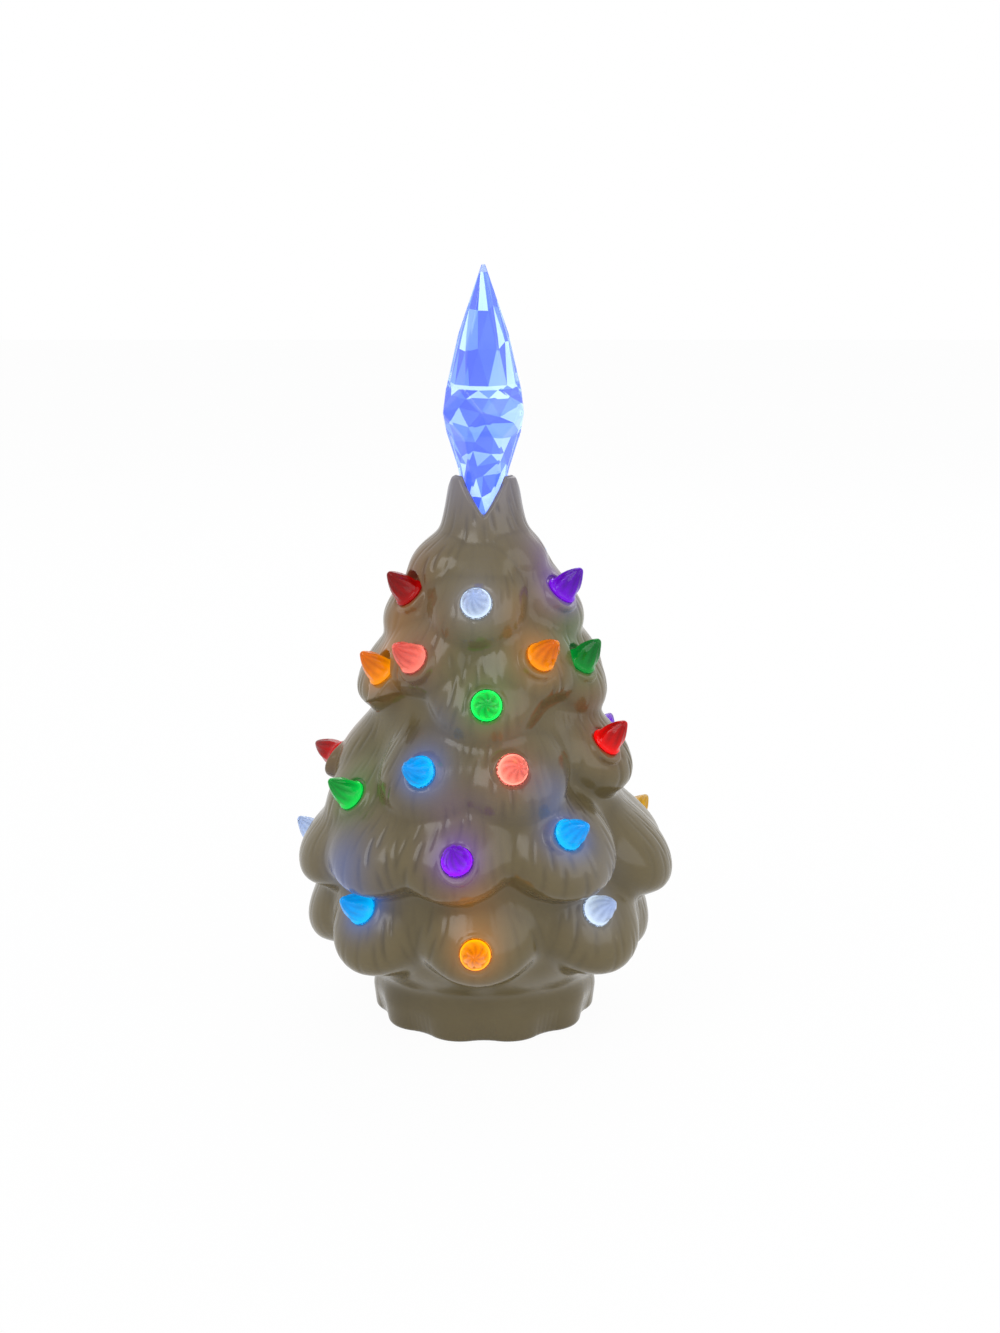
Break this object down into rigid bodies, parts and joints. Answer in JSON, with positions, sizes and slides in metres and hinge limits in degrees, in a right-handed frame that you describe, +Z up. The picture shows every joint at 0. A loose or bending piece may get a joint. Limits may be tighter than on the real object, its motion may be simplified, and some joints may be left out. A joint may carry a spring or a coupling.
{
  "type": "ceramic christmas tree",
  "caption": "Table-top ceramic christmas tree, lit from inside: glazed drooping boughs with set-in coloured flame bulbs, a faceted clear spire in the notched crown and a scalloped foot.",
  "frame": {"origin": "centre of the foot on the plane it stands on", "axes": "+Z up along the tree, the front faces -Y, +X to the right seen from the front"},
  "size_m": [0.1269, 0.1335, 0.25],
  "materials": {
    "glaze": "gloss",
    "spire": "clear gloss",
    "socket": "gloss",
    "lamp": "gloss",
    "white_plastic": "matte",
    "board": "satin",
    "base": "matte",
    "gasket": "matte",
    "cell": "satin",
    "contact": "satin",
    "black_plastic": "matte",
    "screw": "satin",
    "red_bulb": "clear gloss",
    "white_bulb": "clear gloss",
    "purple_bulb": "clear gloss",
    "blue_bulb": "clear gloss",
    "orange_bulb": "clear gloss",
    "pink_bulb": "clear gloss",
    "yellow_bulb": "clear gloss",
    "green_bulb": "clear gloss"
  },
  "bodies": {
    "tree": {"base_gasket": "gasket", "base_plug": "base", "battery_1": "cell", "battery_2": "cell", "battery_3": "cell", "battery_holder": "white_plastic", "blue_bulb_1": "blue_bulb", "blue_bulb_2": "blue_bulb", "blue_bulb_3": "blue_bulb", "blue_bulb_4": "blue_bulb", "blue_bulb_5": "blue_bulb", "blue_bulb_6": "blue_bulb", "board_lamps": "lamp", "board_screw_1": "screw", "board_screw_2": "screw", "green_bulb_1": "green_bulb", "green_bulb_2": "green_bulb", "green_bulb_3": "green_bulb", "green_bulb_4": "green_bulb", "green_bulb_5": "green_bulb", "green_bulb_6": "green_bulb", "holder_contacts": "contact", "holder_screw_1": "screw", "holder_screw_2": "screw", "lamp_board": "board", "lamp_post": "white_plastic", "lamp_ring": "lamp", "orange_bulb_1": "orange_bulb", "orange_bulb_2": "orange_bulb", "orange_bulb_3": "orange_bulb", "orange_bulb_4": "orange_bulb", "orange_bulb_5": "orange_bulb", "pink_bulb_1": "pink_bulb", "pink_bulb_2": "pink_bulb", "purple_bulb_1": "purple_bulb", "purple_bulb_2": "purple_bulb", "purple_bulb_3": "purple_bulb", "purple_bulb_4": "purple_bulb", "red_bulb_1": "red_bulb", "red_bulb_2": "red_bulb", "red_bulb_3": "red_bulb", "red_bulb_4": "red_bulb", "red_bulb_5": "red_bulb", "spire_lamp": "lamp", "spire_socket": "socket", "switch_housing": "black_plastic", "tree_body": "glaze", "tree_crown": "glaze", "white_bulb_1": "white_bulb", "white_bulb_2": "white_bulb", "white_bulb_3": "white_bulb", "white_bulb_4": "white_bulb", "yellow_bulb_1": "yellow_bulb", "yellow_bulb_2": "yellow_bulb", "yellow_bulb_3": "yellow_bulb"},
    "spire_body": {"spire": "spire"},
    "door_body": {"battery_door": "base", "door_contact": "contact"},
    "switch_body": {"switch_slider": "black_plastic"}
  },
  "joints": [
    {"name": "spire_lift", "type": "slide", "parent": "tree", "child": "spire_body", "axis": [0, 0, 1], "range_m": [0, 0.03]},
    {"name": "door_turn", "type": "hinge", "parent": "tree", "child": "door_body", "pos_m": [0, 0, 0.004], "axis": [0, 0, 1], "range_deg": [0, 40]},
    {"name": "switch_slide", "type": "slide", "parent": "tree", "child": "switch_body", "axis": [0, 1, 0], "range_m": [0, 0.003]}
  ]
}
